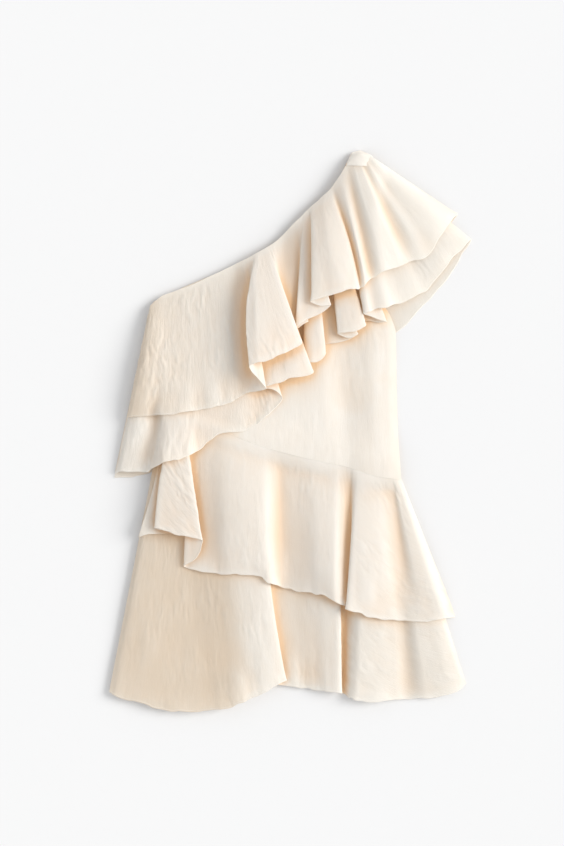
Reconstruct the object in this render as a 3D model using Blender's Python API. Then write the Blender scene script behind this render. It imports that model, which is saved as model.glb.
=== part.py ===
"""One-shoulder dress with a two-layer neck flounce and a two-tier skirt, laid flat on its back.

Run with blender --background --python part.py, or from Blender's text editor.
+Z is up and the floor is at Z 0. +Y points from the hem to the shoulder, and the dress faces up.
The tables are in millimetres from the middle of the laid-out dress; the meshes are in metres.

Every flounce is a ruled sheet: each row of its table is one straight fold line of the cloth, from a
place on the seam to a place on the hem. Where the hem turns back on itself the cloth is folded, and
lift is how far that fold line stands above whatever the piece lies on.
"""

import math

import bmesh
import bpy
import numpy as np

MM = 0.001
WALL = 1.0            # thickness of the cloth
SEAM_GAP = 0.3        # between pieces that are sewn to each other
LAYER_GAP = 0.5       # least air between a piece and what it lies on
CENTRE_X = 0.5        # middle of the finished dress in the tables, which becomes the origin
CENTRE_Y = -0.3
CREAM = (0.93, 0.86, 0.74, 1.0)
PALE_CREAM = (0.95, 0.90, 0.80, 1.0)

# The bed is a height map of the pieces laid down so far.
BED_STEP = 3.0
BED_HALF_WIDTH = 330.0
BED_HALF_LENGTH = 490.0

# Grid sizes of the pieces: columns along the hem, and rows from the seam to the hem.
TURN_SHARE = 0.35     # a column this far into the spans on each side of a turn rounds the fold
PIECE_GRIDS = {       # column_spacing and rows of the grid, reach over which it bridges steps
    "neck_over_back": (60.0, 5, 12.0),
    "neck_under_back": (60.0, 6, 27.0),
    "skirt_over_back": (60.0, 5, 27.0),
    "skirt_under_back": (60.0, 6, 27.0),
    "bodice_back": (24.0, 13, 18.0),
    "bodice_front": (24.0, 13, 9.0),
    "skirt_under_front": (16.0, 9, 9.0),
    "skirt_over_front": (16.0, 9, 12.0),
    "neck_under_front": (13.0, 12, 12.0),
    "neck_over_front": (13.0, 12, 15.0),
    "shoulder_yoke": (8.0, 7, 9.0),
}

NECKLINE = (  # x, y from the left underarm up to the shoulder
    (-224, 200), (-205, 216), (-176, 227), (-120, 251), (-64, 278), (-24, 302),
    (16, 341), (45, 368), (64, 386), (80, 408), (91, 426), (102, 435), (115, 442), (125, 442),
)
WAIST_SEAM = (  # x, y from the left side seam to the right one
    (-202, 29), (-102, -2), (-26, -29), (45, -46), (91, -56), (134, -70), (178, -77),
)

# Front and back bodice: each section runs from the left edge to the right edge.
BODICE_SECTIONS = (  # left_x, left_y, right_x, right_y
    (-202, 29, 178, -77),     # waist seam
    (-208, 84, 173, 0),
    (-216, 144, 171, 80),
    (-224, 197, 170, 152),    # left underarm
    (-176, 227, 163, 179),    # right underarm
    (-120, 251, 150, 203),
    (-64, 278, 141, 235),
    (-24, 302, 134, 272),
    (16, 341, 131, 312),
    (45, 368, 130, 349),
    (64, 386, 131, 376),
    (80, 408, 133, 400),
    (99, 445, 139, 429),      # top of the shoulder
)
BODICE_FOLDS = (  # x at the waist, lift at the waist, lift at the chest
    (-202, 0.0, 0.0),
    (-185, 3.0, 2.5),
    (-90, 4.0, 2.0),
    (10, 5.0, 3.0),
    (58, 6.0, 4.0),
    (93, 1.0, 2.0),           # valley that runs into the deep fold of the skirt
    (118, 5.0, 3.0),
    (141, 8.5, 4.0),          # ridge beside the right side seam
    (164, 5.0, 3.0),
    (178, 0.0, 0.0),
)

# Flounces: seam_x on the seam, hem_x and hem_y, lift of the hem, bow of the fold line to the right.
NECK_UNDER_FRONT = (
    (-224, -280, -70, 2, 0),      # left side seam
    (-222, -272, -67, 11, 0),
    (-216, -251, -66, 15, 0),     # roll at the left side
    (-207, -229, -66, 9, 0),
    (-200, -221, -62, 5, 0),      # groove beside the roll
    (-188, -205, -53, 7, 0),
    (-170, -179, -46, 7, 0),
    (-146, -144, -30, 6, 0),
    (-122, -109, -5, 6, 0),
    (-102, -72, 0, 6, 0),
    (-84, -42, 19, 2, 0),
    (-72, -13, 52, 4, 0),         # turns back under the first cascade
    (-62, -30, 66, 9.5, -2),
    (-54, -46, 68, 17, -4),       # left edge of the first cascade
    (-49, -28, 72, 19, -2),
    (-44, -3, 82, 19.5, 0),
    (-40, 22, 86, 19, 0),
    (-36, 37, 94, 16, 0),         # right edge of the first cascade
    (-31, 21, 112, 12, 0),
    (-24, 10, 123, 4, 0),         # turns right again, below
    (-4, 29, 125, 0.5, 0),        # valley
    (13, 43, 125, 2.5, 0),
    (19, 32, 119, 5, 0),
    (25, 21, 112, 8.5, 0),        # left edge of the narrow cascade
    (29, 40, 110, 12, 0),
    (33, 58, 122, 8.5, 0),         # right edge of the narrow cascade
    (36, 50, 134, 4.5, 0),
    (40, 64, 138, 0.5, 0),         # deep valley
    (43, 92, 144, 2.5, 0),
    (46, 108, 153, 5.5, 0),       # turns back under the third cascade
    (48, 94, 149, 8.5, 0),
    (51, 77, 154, 11.5, 0),       # left edge of the third cascade
    (54, 99, 158, 14.5, 0),
    (58, 122, 168, 11, 0),      # right edge of the third cascade
    (62, 115, 176, 5, 0),
    (64.5, 135, 174, 0.5, 0),
    (67, 156, 173, 3.5, 0),       # rounded tongue of the valley
    (70, 138, 180, 7.5, 0),
    (73, 118, 187, 13, 0),        # left edge of the shoulder cap
    (80, 125, 190, 15.5, 0),
    (91, 136, 194, 13, 0),
    (99, 157, 198, 16, 0),
    (106, 179, 205, 15, 0),
    (110, 200, 214, 13, 0),
    (115, 219, 226, 9, 0),
    (118, 240, 250, 12, 0),
    (121, 266, 282, 14, 0),
    (123, 283, 299, 9, 0),
    (125, 291, 307, 2, 0),        # shoulder edge
)
NECK_OVER_FRONT = (
    (-224, -261, 19, 2, 0),       # left side seam
    (-222, -254, 21, 8, 0),
    (-216, -235, 22, 10, 0),
    (-205, -211, 24, 8, 0),
    (-188, -184, 27, 6, 0),
    (-166, -157, 32, 5, 0),
    (-138, -125, 37, 5, 0),
    (-110, -93, 46, 5, 0),
    (-86, -67, 59, 2, 0),
    (-72, -38, 66, 4, 0),         # turns back under the first cascade
    (-62, -52, 84, 12, -5),
    (-52, -64, 101, 24, -11),     # left edge of the first cascade
    (-47, -45, 109, 22, -7),
    (-43, -22, 117, 20, 0),
    (-39, 0, 126, 19, 0),
    (-35, 19, 139, 15.5, 0),      # right edge of the first cascade
    (-31, 3, 160, 11, 0),
    (-24, -5, 170, 4, 0),         # turns right again, below
    (-4, 13, 173, 0.5, 0),        # valley
    (9, 29, 173, 2.5, 0),
    (15, 19, 168, 5, 0),
    (21, 8, 160, 7.5, 0),         # left edge of the narrow cascade
    (24, 26, 176, 10, 0),
    (27, 52, 189, 12, 0),
    (28.5, 64, 200, 13.5, 0),     # turns back under the middle flounce
    (31, 50, 198, 16.5, 0),
    (34, 34, 205, 19.5, 0),       # left edge of the middle flounce
    (38, 51, 211, 22, 0),
    (46, 74, 218, 22, 0),
    (55, 96, 224, 18, 3),
    (62, 109, 226, 12, 6),        # right edge of the middle flounce
    (67, 113, 229, 4, 4),         # narrow valley
    (72, 118, 230, 10, 4),        # left edge of the shoulder cap
    (80, 122, 235, 13, 0),
    (90, 130, 243, 7, 0),
    (99, 152, 254, 15, 0),
    (106, 175, 262, 16, 0),
    (110, 192, 269, 9, 0),
    (115, 213, 275, 12, 0),
    (118, 229, 290, 9, 0),
    (121, 246, 318, 8, 0),
    (123, 261, 341, 5, 0),
    (125, 269, 347, 2, 0),        # shoulder edge
)
NECK_UNDER_BACK = (
    (-224, -283, -75, 0, 0),
    (-208, -248, -74, 0, 0),
    (-176, -200, -58, 0, 0),
    (-120, -120, -27, 0, 0),
    (-64, -48, 8, 0, 0),
    (0, 24, 51, 0, 0),
    (56, 96, 102, 0, 0),
    (88, 150, 141, 0, 0),
    (104, 179, 162, 0, 0),
    (112, 216, 203, 0, 0),
    (118, 242, 230, 0, 0),
    (122, 269, 269, 0, 0),
    (125, 291, 306, 0, 0),
)
NECK_OVER_BACK = (
    (-224, -262, 18, 0, 0),
    (-208, -232, 19, 0, 0),
    (-176, -192, 29, 0, 0),
    (-120, -125, 51, 0, 0),
    (-64, -56, 80, 0, 0),
    (0, 13, 125, 0, 0),
    (56, 80, 168, 0, 0),
    (88, 131, 200, 0, 0),
    (104, 160, 214, 0, 0),
    (112, 189, 240, 0, 0),
    (118, 211, 269, 0, 0),
    (122, 240, 307, 0, 0),
    (125, 268, 346, 0, 0),
)
SKIRT_UNDER_FRONT = (
    (-202, -290, -419, 6, 0),     # left side seam
    (-200, -277, -426, 11, 0),
    (-192, -237, -438, 13, 0),
    (-180, -200, -448, 13, 0),
    (-164, -157, -451, 13, 0),
    (-140, -109, -446, 17, 0),
    (-112, -70, -432, 22, 0),
    (-80, -42, -419, 23, -4),
    (-40, -6, -400, 18, -12),     # crest of the big left fold
    (-34, -21, -405, 11, -6),
    (-26, -5, -410, 5, 0),
    (-12, 18, -413, 6, 0),
    (14, 42, -416, 10, 0),
    (48, 62, -418, 15, 0),
    (72, 77, -421, 16.5, 0),
    (78, 83, -422, 13, 0),        # right edge of the left panel
    (83, 79, -421, 8.5, 0),
    (88, 75, -420, 4, 0),         # turns right again, below
    (94, 84, -423, 0.5, 0),       # floor of the deep fold
    (101, 91, -426, 6, 0),
    (110, 98, -428, 12, 0),
    (122, 109, -434, 16, 0),
    (139, 144, -434, 14, 0),
    (152, 170, -432, 9, 0),
    (162, 192, -430, 4, 0),       # valley
    (166, 221, -429, 10, 0),
    (171, 253, -422, 10, 0),
    (175, 275, -414, 7, 0),
    (178, 283, -408, 2, 0),       # right side seam
)
SKIRT_OVER_FRONT = (
    (-202, -243, -171, 2, 8),     # left side seam
    (-201, -224, -166, 3, 6),
    (-199, -200, -166, 1, 4),
    (-197, -176, -166, 3.5, 0),   # turns back under the side cascade
    (-192, -196, -161, 9, -2),
    (-186, -216, -155, 14.5, -5), # left edge of the side cascade
    (-181, -195, -162, 17.5, -2),
    (-176, -160, -170, 18, 0),
    (-171, -140, -175, 15, 0),    # right edge of the side cascade
    (-168, -141, -190, 12, 0),
    (-164, -155, -207, 8.5, 0),
    (-160, -170, -216, 4.5, 0),   # turns right again, below
    (-150, -160, -222, 0.5, 0),
    (-131, -128, -227, 4, 0),
    (-99, -99, -229, 12, 0),
    (-67, -69, -229, 14.5, 0),
    (-45, -45, -234, 15, 0),
    (-26, -32, -245, 11, 0),
    (-14, -10, -251, 5, 0),       # valley
    (11, 16, -258, 7, 0),
    (45, 48, -262, 13, 0),
    (70, 67, -270, 13.5, 0),
    (82, 80, -277, 8, 0),
    (90, 92, -280, 2, 0),         # floor of the deep fold
    (96, 101, -283, 0.5, 0),      # turns back under the right panel
    (101, 95, -284, 7.5, 0),
    (106, 89, -284, 12.5, 0),     # left edge of the right panel
    (113, 99, -287, 15.5, 0),
    (122, 115, -293, 15, 0),
    (139, 147, -302, 13, 0),
    (152, 176, -304, 8, 0),
    (162, 195, -306, 4, 0),       # valley
    (166, 218, -306, 9, 0),
    (171, 243, -302, 10, 0),
    (175, 259, -299, 6, 0),
    (178, 266, -299, 2, 0),       # right side seam
)
SKIRT_UNDER_BACK = (
    (-202, -289, -418, 0, 0),
    (-180, -232, -432, 0, 0),
    (-150, -157, -442, 0, 0),
    (-112, -80, -430, 0, 0),
    (-40, -6, -396, 0, 0),
    (45, 50, -408, 0, 0),
    (92, 100, -414, 0, 0),
    (139, 144, -426, 0, 0),
    (162, 221, -422, 0, 0),
    (178, 282, -407, 0, 0),
)
SKIRT_OVER_BACK = (
    (-202, -244, -172, 0, 8),
    (-180, -190, -182, 0, 0),
    (-150, -136, -206, 0, 0),
    (-112, -64, -220, 0, 0),
    (-40, 16, -246, 0, 0),
    (45, 60, -256, 0, 0),
    (92, 100, -274, 0, 0),
    (139, 144, -292, 0, 0),
    (162, 216, -296, 0, 0),
    (178, 264, -298, 0, 0),
)
# Yoke over the shoulder, in front of the top of the flounces: x, y of its two long edges.
YOKE_SECTIONS = (  # left_x, left_y, right_x, right_y, lift
    (100, 446, 113, 450, 0.0),
    (97, 440, 124, 444, 1.0),
    (93, 433, 133, 437, 1.5),
    (90, 424, 134, 422, 0.5),
)


def clear_scene():
    for obj in list(bpy.data.objects):
        bpy.data.objects.remove(obj)


def monotone(values, at):
    """Smooth curve through values at 0, 1, 2 and so on that never overshoots them."""
    values = np.asarray(values, float)
    steps = np.diff(values)
    slopes = np.empty_like(values)
    slopes[0], slopes[-1] = steps[0], steps[-1]
    before, after = steps[:-1], steps[1:]
    same_way = before * after > 0
    mean = np.zeros_like(before)
    mean[same_way] = 2 * before[same_way] * after[same_way] / (before[same_way] + after[same_way])
    slopes[1:-1] = mean
    i = np.clip(np.floor(at).astype(int), 0, len(values) - 2)
    t = at - i
    return (
        (2 * t**3 - 3 * t**2 + 1) * values[i]
        + (t**3 - 2 * t**2 + t) * slopes[i]
        + (-2 * t**3 + 3 * t**2) * values[i + 1]
        + (t**3 - t**2) * slopes[i + 1]
    )


def along(path, x):
    """y of a path at x. Its x values grow."""
    xs = np.array([p[0] for p in path], float)
    at = np.interp(x, xs, np.arange(len(xs)))
    return monotone([p[1] for p in path], at)


class Bed:
    """Height of everything laid down so far, on a square grid."""

    def __init__(self):
        columns = int(2 * BED_HALF_WIDTH / BED_STEP) + 1
        rows = int(2 * BED_HALF_LENGTH / BED_STEP) + 1
        self.height = np.full((columns, rows), -LAYER_GAP)  # so that the first pieces rest on the floor

    def cells(self, x, y):
        return (x + BED_HALF_WIDTH) / BED_STEP, (y + BED_HALF_LENGTH) / BED_STEP

    def lay(self, surface):
        """Adds the top of a piece, sampled finer than the grid."""
        x, y, z = (np.ravel(surface[..., k]) for k in range(3))
        column, row = self.cells(x, y)
        place = np.round(column).astype(int), np.round(row).astype(int)
        np.maximum.at(self.height, place, z + WALL / 2)

    def softened(self, reach):
        """The least smooth height that clears the grid: widened first, then averaged over the same reach."""
        soft = self.height
        reach = range(-round(reach / BED_STEP), round(reach / BED_STEP) + 1)
        for axis in (0, 1):
            soft = np.max([np.roll(soft, k, axis) for k in reach], axis=0)
        for axis in (0, 1):
            soft = np.mean([np.roll(soft, k, axis) for k in reach], axis=0)
        return soft

    def sampler(self, heights):
        def sample(x, y):
            column, row = self.cells(x, y)
            i, j = np.floor(column).astype(int), np.floor(row).astype(int)
            s, t = column - i, row - j
            return (
                heights[i, j] * (1 - s) * (1 - t) + heights[i + 1, j] * s * (1 - t)
                + heights[i, j + 1] * (1 - s) * t + heights[i + 1, j + 1] * s * t
            )

        return sample


def flounce_shape(folds, seam, u, v):
    """Plan position and lift of a flounce at u fold rows along it and at share v from seam to hem."""
    seam_x, hem_x, hem_y, lift, bow = (monotone(column, u) for column in zip(*folds))
    seam_y = along(seam, seam_x)
    x = seam_x * (1 - v) + hem_x * v + bow * np.sin(math.pi * v)
    y = (seam_y - SEAM_GAP) * (1 - v) + hem_y * v
    return x, y, lift * (1 - (1 - v) ** 3)


def bodice_shape(sections, folds, u, v):
    """Plan position and lift of a bodice panel: u across it from 0 to 1, v in sections from the waist up."""
    left_x, left_y, right_x, right_y = (monotone(column, v) for column in zip(*sections))
    x = left_x * (1 - u) + right_x * u
    y = left_y * (1 - u) + right_y * u
    at_waist = np.clip(1 - v, 0, 1)  # the lowest section follows the curved waist seam
    straight = sections[0][1] * (1 - u) + sections[0][3] * u
    y = y + at_waist * (along(WAIST_SEAM, x) + SEAM_GAP - straight)
    waist_x = sections[0][0] * (1 - u) + sections[0][2] * u
    at = np.interp(waist_x, [f[0] for f in folds], np.arange(len(folds)))
    chest = np.clip(v / 4, 0, 1)
    low, high = (monotone(column, at) for column in list(zip(*folds))[1:])
    return x, y, low * (1 - chest) + high * chest


def yoke_shape(sections, u, v):
    left_x, left_y, right_x, right_y, lift = (monotone(column, v) for column in zip(*sections))
    x = left_x * (1 - u) + right_x * u
    y = left_y * (1 - u) + right_y * u
    return x, y, lift * np.sin(math.pi * u)


def grid(u_values, v_values):
    return np.meshgrid(u_values, v_values, indexing="ij")


def lay_piece(bed, shape, u_values, v_values, reach):
    """Points of a piece that lies on the bed. The bed then carries it too."""
    ground = bed.sampler(bed.softened(reach))

    def place(us, vs):
        x, y, lift = shape(*grid(us, vs))
        return np.stack([x, y, ground(x, y) + WALL / 2 + lift], axis=-1)

    fine = place(np.linspace(u_values[0], u_values[-1], 900), np.linspace(v_values[0], v_values[-1], 260))
    clearance = fine[..., 2] - WALL / 2 - bed.sampler(bed.height)(fine[..., 0], fine[..., 1])
    settle = LAYER_GAP - clearance.min()
    bed.lay(fine + (0, 0, settle))
    return place(u_values, v_values) + (0, 0, settle)


def unit(vectors):
    return vectors / np.maximum(np.linalg.norm(vectors, axis=-1, keepdims=True), 1e-9)


def normals_of(points):
    """Sheet normals square to the fold lines. A sharp turn's normal points straight out of the turn."""
    down = np.diff(points, axis=1)
    down = unit(np.concatenate([down[:, :1], (down[:, :-1] + down[:, 1:]) / 2, down[:, -1:]], axis=1))
    steps = np.diff(points, axis=0)
    between = unit(down[:-1] + down[1:])
    steps = unit(steps - np.sum(steps * between, axis=-1, keepdims=True) * between)
    over = np.concatenate([steps[:1], steps]) + np.concatenate([steps, steps[-1:]])
    return unit(np.cross(down, over))


def cloth_object(name, points, material, collection):
    """A closed wall: a grid pulled onto one side of the sheet, then extruded through to the other."""
    columns, rows = points.shape[:2]
    points = points - (CENTRE_X, CENTRE_Y, 0)
    across = normals_of(points) * WALL / 2
    if across[..., 2].mean() < 0:
        across = -across
    mesh = bpy.data.meshes.new(name)
    bm = bmesh.new()
    bmesh.ops.create_grid(bm, x_segments=columns - 1, y_segments=rows - 1, size=0.5)
    column_of = bm.verts.layers.int.new("column")
    row_of = bm.verts.layers.int.new("row")
    for vertex in bm.verts:
        vertex[column_of] = round((vertex.co.x + 0.5) * (columns - 1))
        vertex[row_of] = round((vertex.co.y + 0.5) * (rows - 1))
        vertex.co = (points + across)[vertex[column_of], vertex[row_of]] * MM
    below = bmesh.ops.extrude_face_region(bm, geom=bm.faces[:], use_keep_orig=True)["geom"]
    for vertex in (piece for piece in below if isinstance(piece, bmesh.types.BMVert)):
        vertex.co = (points - across)[vertex[column_of], vertex[row_of]] * MM
    bmesh.ops.recalc_face_normals(bm, faces=bm.faces)
    bm.to_mesh(mesh)
    bm.free()
    mesh.shade_smooth()
    mesh.materials.append(material)
    obj = bpy.data.objects.new(name, mesh)
    collection.objects.link(obj)
    return obj


def cloth_material(name, colour):
    material = bpy.data.materials.new(name)
    material.use_nodes = True
    shader = material.node_tree.nodes["Principled BSDF"]
    shader.inputs["Base Color"].default_value = colour
    shader.inputs["Roughness"].default_value = 0.75
    shader.inputs["Metallic"].default_value = 0.0
    return material


def fold_columns(folds, spacing):
    """Where along its table a flounce has columns: at each row, evenly between, and close to turns."""
    places = []
    hem_x = [fold[1] for fold in folds]
    last = len(folds) - 1

    def turns(i):
        return 0 < i < last and (hem_x[i] - hem_x[i - 1]) * (hem_x[i + 1] - hem_x[i]) < 0

    for i in range(last):
        spans = max(1, round(math.dist(folds[i][1:3], folds[i + 1][1:3]) / spacing))
        start = TURN_SHARE if turns(i) else 0.0
        end = 1 - TURN_SHARE if turns(i + 1) else 1.0
        places.append(i)
        if start or end < 1:
            places.extend(i + np.linspace(start, end, spans + 1)[0 if start else 1 : None if end < 1 else -1])
        else:
            places.extend(i + np.linspace(0, 1, spans + 1)[1:-1])
    return np.array(places + [last], float)


def main():
    clear_scene()
    dress = bpy.data.collections.new("one_shoulder_dress")
    bpy.context.scene.collection.children.link(dress)
    body_cloth = cloth_material("body_cloth", CREAM)
    flounce_cloth = cloth_material("flounce_cloth", PALE_CREAM)
    bed = Bed()

    def lay(name, shape, columns, last_row, material):
        _, rows, reach = PIECE_GRIDS[name]
        points = lay_piece(bed, shape, columns, np.linspace(0, last_row, rows), reach)
        cloth_object(name, points, material, dress)

    def flounce(name, folds, seam):
        columns = fold_columns(folds, PIECE_GRIDS[name][0])
        lay(name, lambda u, v: flounce_shape(folds, seam, u, v), columns, 1, flounce_cloth)

    def bodice(name, folds):
        width = BODICE_SECTIONS[0][2] - BODICE_SECTIONS[0][0]
        columns = np.linspace(0, 1, round(width / PIECE_GRIDS[name][0]) + 1)
        last_row = len(BODICE_SECTIONS) - 1
        lay(name, lambda u, v: bodice_shape(BODICE_SECTIONS, folds, u, v), columns, last_row, body_cloth)

    flounce("neck_over_back", NECK_OVER_BACK, NECKLINE)
    flounce("neck_under_back", NECK_UNDER_BACK, NECKLINE)
    flounce("skirt_over_back", SKIRT_OVER_BACK, WAIST_SEAM)
    flounce("skirt_under_back", SKIRT_UNDER_BACK, WAIST_SEAM)
    bodice("bodice_back", tuple((x, 0.0, 0.0) for x, _, _ in BODICE_FOLDS))
    bodice("bodice_front", BODICE_FOLDS)
    flounce("skirt_under_front", SKIRT_UNDER_FRONT, WAIST_SEAM)
    flounce("skirt_over_front", SKIRT_OVER_FRONT, WAIST_SEAM)
    flounce("neck_under_front", NECK_UNDER_FRONT, NECKLINE)
    flounce("neck_over_front", NECK_OVER_FRONT, NECKLINE)
    lay(
        "shoulder_yoke",
        lambda u, v: yoke_shape(YOKE_SECTIONS, u, v),
        np.linspace(0, 1, 6),
        len(YOKE_SECTIONS) - 1,
        body_cloth,
    )


main()
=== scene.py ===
import math

import bmesh
import bpy
import numpy as np
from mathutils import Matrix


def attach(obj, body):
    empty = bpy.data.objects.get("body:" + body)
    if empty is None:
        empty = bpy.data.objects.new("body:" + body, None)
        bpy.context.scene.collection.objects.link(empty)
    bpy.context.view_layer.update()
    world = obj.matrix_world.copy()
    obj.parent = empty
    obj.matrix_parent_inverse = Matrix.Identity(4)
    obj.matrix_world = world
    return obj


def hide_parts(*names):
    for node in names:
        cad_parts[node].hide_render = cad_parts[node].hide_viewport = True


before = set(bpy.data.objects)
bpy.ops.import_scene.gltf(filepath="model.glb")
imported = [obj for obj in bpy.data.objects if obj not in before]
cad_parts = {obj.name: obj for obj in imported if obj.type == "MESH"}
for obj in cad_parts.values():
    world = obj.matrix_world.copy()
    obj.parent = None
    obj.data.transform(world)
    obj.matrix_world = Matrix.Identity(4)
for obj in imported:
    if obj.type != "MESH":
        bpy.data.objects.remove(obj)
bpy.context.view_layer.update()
print("frame loaded")

mm = 0.001
cadWall = 1.0          # the rigid model's cloth, which sets how far apart the layers lie
cadGap = 0.5
centre = (0.5, -0.3)   # middle of the finished dress in the tables
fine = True

# Photograph: its frame, and how it maps onto the laid-out dress.
photoWidth, photoHeight = 564, 846
pixel = 1.6            # millimetres
originColumn, originRow = 290, 430.5

neckline = (  # x, y from the left underarm up to the shoulder
    (-224, 200), (-205, 216), (-176, 227), (-120, 251), (-64, 278), (-24, 302),
    (16, 341), (45, 368), (64, 386), (80, 408), (91, 426), (102, 435), (115, 442), (125, 442),
)

waistSeam = (  # x, y from the left side seam to the right one
    (-202, 29), (-102, -2), (-26, -29), (45, -46), (91, -56), (134, -70), (178, -77),
)

bodiceSections = (  # left_x, left_y, right_x, right_y
    (-202, 29, 178, -77),     # waist seam
    (-208, 84, 173, 0),
    (-216, 144, 171, 80),
    (-224, 197, 170, 152),    # left underarm
    (-176, 227, 163, 179),    # right underarm
    (-120, 251, 150, 203),
    (-64, 278, 141, 235),
    (-24, 302, 134, 272),
    (16, 341, 131, 312),
    (45, 368, 130, 349),
    (64, 386, 131, 376),
    (80, 408, 133, 400),
    (99, 445, 139, 429),      # top of the shoulder
)

bodiceFolds = (  # x at the waist, lift at the waist, lift at the chest
    (-202, 0.0, 0.0),
    (-185, 3.0, 2.5),
    (-90, 4.0, 2.0),
    (10, 5.0, 3.0),
    (58, 6.0, 4.0),
    (93, 1.0, 2.0),           # valley that runs into the deep fold of the skirt
    (118, 5.0, 3.0),
    (141, 8.5, 4.0),          # ridge beside the right side seam
    (164, 5.0, 3.0),
    (178, 0.0, 0.0),
)

# Folds of the flounces: x at the seam, x and y at the hem, lift, and sideways bow halfway down.
neckUnderFrontFolds = (
    (-224, -280, -70, 2, 0),      # left side seam
    (-222, -272, -67, 11, 0),
    (-216, -251, -66, 15, 0),     # roll at the left side
    (-207, -229, -66, 9, 0),
    (-200, -221, -62, 5, 0),      # groove beside the roll
    (-188, -205, -53, 7, 0),
    (-170, -179, -46, 7, 0),
    (-146, -144, -30, 6, 0),
    (-122, -109, -5, 6, 0),
    (-102, -72, 0, 6, 0),
    (-84, -42, 19, 2, 0),
    (-72, -13, 52, 4, 0),         # turns back under the first cascade
    (-62, -30, 66, 9.5, -2),
    (-54, -46, 68, 17, -4),       # left edge of the first cascade
    (-49, -28, 72, 19, -2),
    (-44, -3, 82, 19.5, 0),
    (-40, 22, 86, 19, 0),
    (-36, 37, 94, 16, 0),         # right edge of the first cascade
    (-31, 21, 112, 12, 0),
    (-24, 10, 123, 4, 0),         # turns right again, below
    (-4, 29, 125, 0.5, 0),        # valley
    (13, 43, 125, 2.5, 0),
    (19, 32, 119, 5, 0),
    (25, 21, 112, 8.5, 0),        # left edge of the narrow cascade
    (29, 40, 110, 12, 0),
    (33, 58, 122, 8.5, 0),        # right edge of the narrow cascade
    (36, 50, 134, 4.5, 0),
    (40, 64, 138, 0.5, 0),        # deep valley
    (43, 92, 144, 2.5, 0),
    (46, 108, 153, 5.5, 0),       # turns back under the third cascade
    (48, 94, 149, 8.5, 0),
    (51, 77, 154, 11.5, 0),       # left edge of the third cascade
    (54, 99, 158, 14.5, 0),
    (58, 122, 168, 11, 0),        # right edge of the third cascade
    (62, 115, 176, 5, 0),
    (64.5, 135, 174, 0.5, 0),
    (67, 156, 173, 3.5, 0),       # rounded tongue of the valley
    (70, 138, 180, 7.5, 0),
    (73, 118, 187, 13, 0),        # left edge of the shoulder cap
    (80, 125, 190, 15.5, 0),
    (91, 136, 194, 13, 0),
    (99, 157, 198, 16, 0),
    (106, 179, 205, 15, 0),
    (110, 200, 214, 13, 0),
    (115, 219, 226, 9, 0),
    (118, 240, 250, 12, 0),
    (121, 266, 282, 14, 0),
    (123, 283, 299, 9, 0),
    (125, 291, 307, 2, 0),        # shoulder edge
)

neckOverFrontFolds = (
    (-224, -261, 19, 2, 0),       # left side seam
    (-222, -254, 21, 8, 0),
    (-216, -235, 22, 10, 0),
    (-205, -211, 24, 8, 0),
    (-188, -184, 27, 6, 0),
    (-166, -157, 32, 5, 0),
    (-138, -125, 37, 5, 0),
    (-110, -93, 46, 5, 0),
    (-86, -67, 59, 2, 0),
    (-72, -38, 66, 4, 0),         # turns back under the first cascade
    (-62, -52, 84, 12, -5),
    (-52, -64, 101, 24, -11),     # left edge of the first cascade
    (-47, -45, 109, 22, -7),
    (-43, -22, 117, 20, 0),
    (-39, 0, 126, 19, 0),
    (-35, 19, 139, 15.5, 0),      # right edge of the first cascade
    (-31, 3, 160, 11, 0),
    (-24, -5, 170, 4, 0),         # turns right again, below
    (-4, 13, 173, 0.5, 0),        # valley
    (9, 29, 173, 2.5, 0),
    (15, 19, 168, 5, 0),
    (21, 8, 160, 7.5, 0),         # left edge of the narrow cascade
    (24, 26, 176, 10, 0),
    (27, 52, 189, 12, 0),
    (28.5, 64, 200, 13.5, 0),     # turns back under the middle flounce
    (31, 50, 198, 16.5, 0),
    (34, 34, 205, 19.5, 0),       # left edge of the middle flounce
    (38, 51, 211, 22, 0),
    (46, 74, 218, 22, 0),
    (55, 96, 224, 18, 3),
    (62, 109, 226, 12, 6),        # right edge of the middle flounce
    (67, 113, 229, 4, 4),         # narrow valley
    (72, 118, 230, 10, 4),        # left edge of the shoulder cap
    (80, 122, 235, 13, 0),
    (90, 130, 243, 7, 0),
    (99, 152, 254, 15, 0),
    (106, 175, 262, 16, 0),
    (110, 192, 269, 9, 0),
    (115, 213, 275, 12, 0),
    (118, 229, 290, 9, 0),
    (121, 246, 318, 8, 0),
    (123, 261, 341, 5, 0),
    (125, 269, 347, 2, 0),        # shoulder edge
)

neckUnderBackFolds = (
    (-224, -283, -75, 0, 0),
    (-208, -248, -74, 0, 0),
    (-176, -200, -58, 0, 0),
    (-120, -120, -27, 0, 0),
    (-64, -48, 8, 0, 0),
    (0, 24, 51, 0, 0),
    (56, 96, 102, 0, 0),
    (88, 150, 141, 0, 0),
    (104, 179, 162, 0, 0),
    (112, 216, 203, 0, 0),
    (118, 242, 230, 0, 0),
    (122, 269, 269, 0, 0),
    (125, 291, 306, 0, 0),
)

neckOverBackFolds = (
    (-224, -262, 18, 0, 0),
    (-208, -232, 19, 0, 0),
    (-176, -192, 29, 0, 0),
    (-120, -125, 51, 0, 0),
    (-64, -56, 80, 0, 0),
    (0, 13, 125, 0, 0),
    (56, 80, 168, 0, 0),
    (88, 131, 200, 0, 0),
    (104, 160, 214, 0, 0),
    (112, 189, 240, 0, 0),
    (118, 211, 269, 0, 0),
    (122, 240, 307, 0, 0),
    (125, 268, 346, 0, 0),
)

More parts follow.
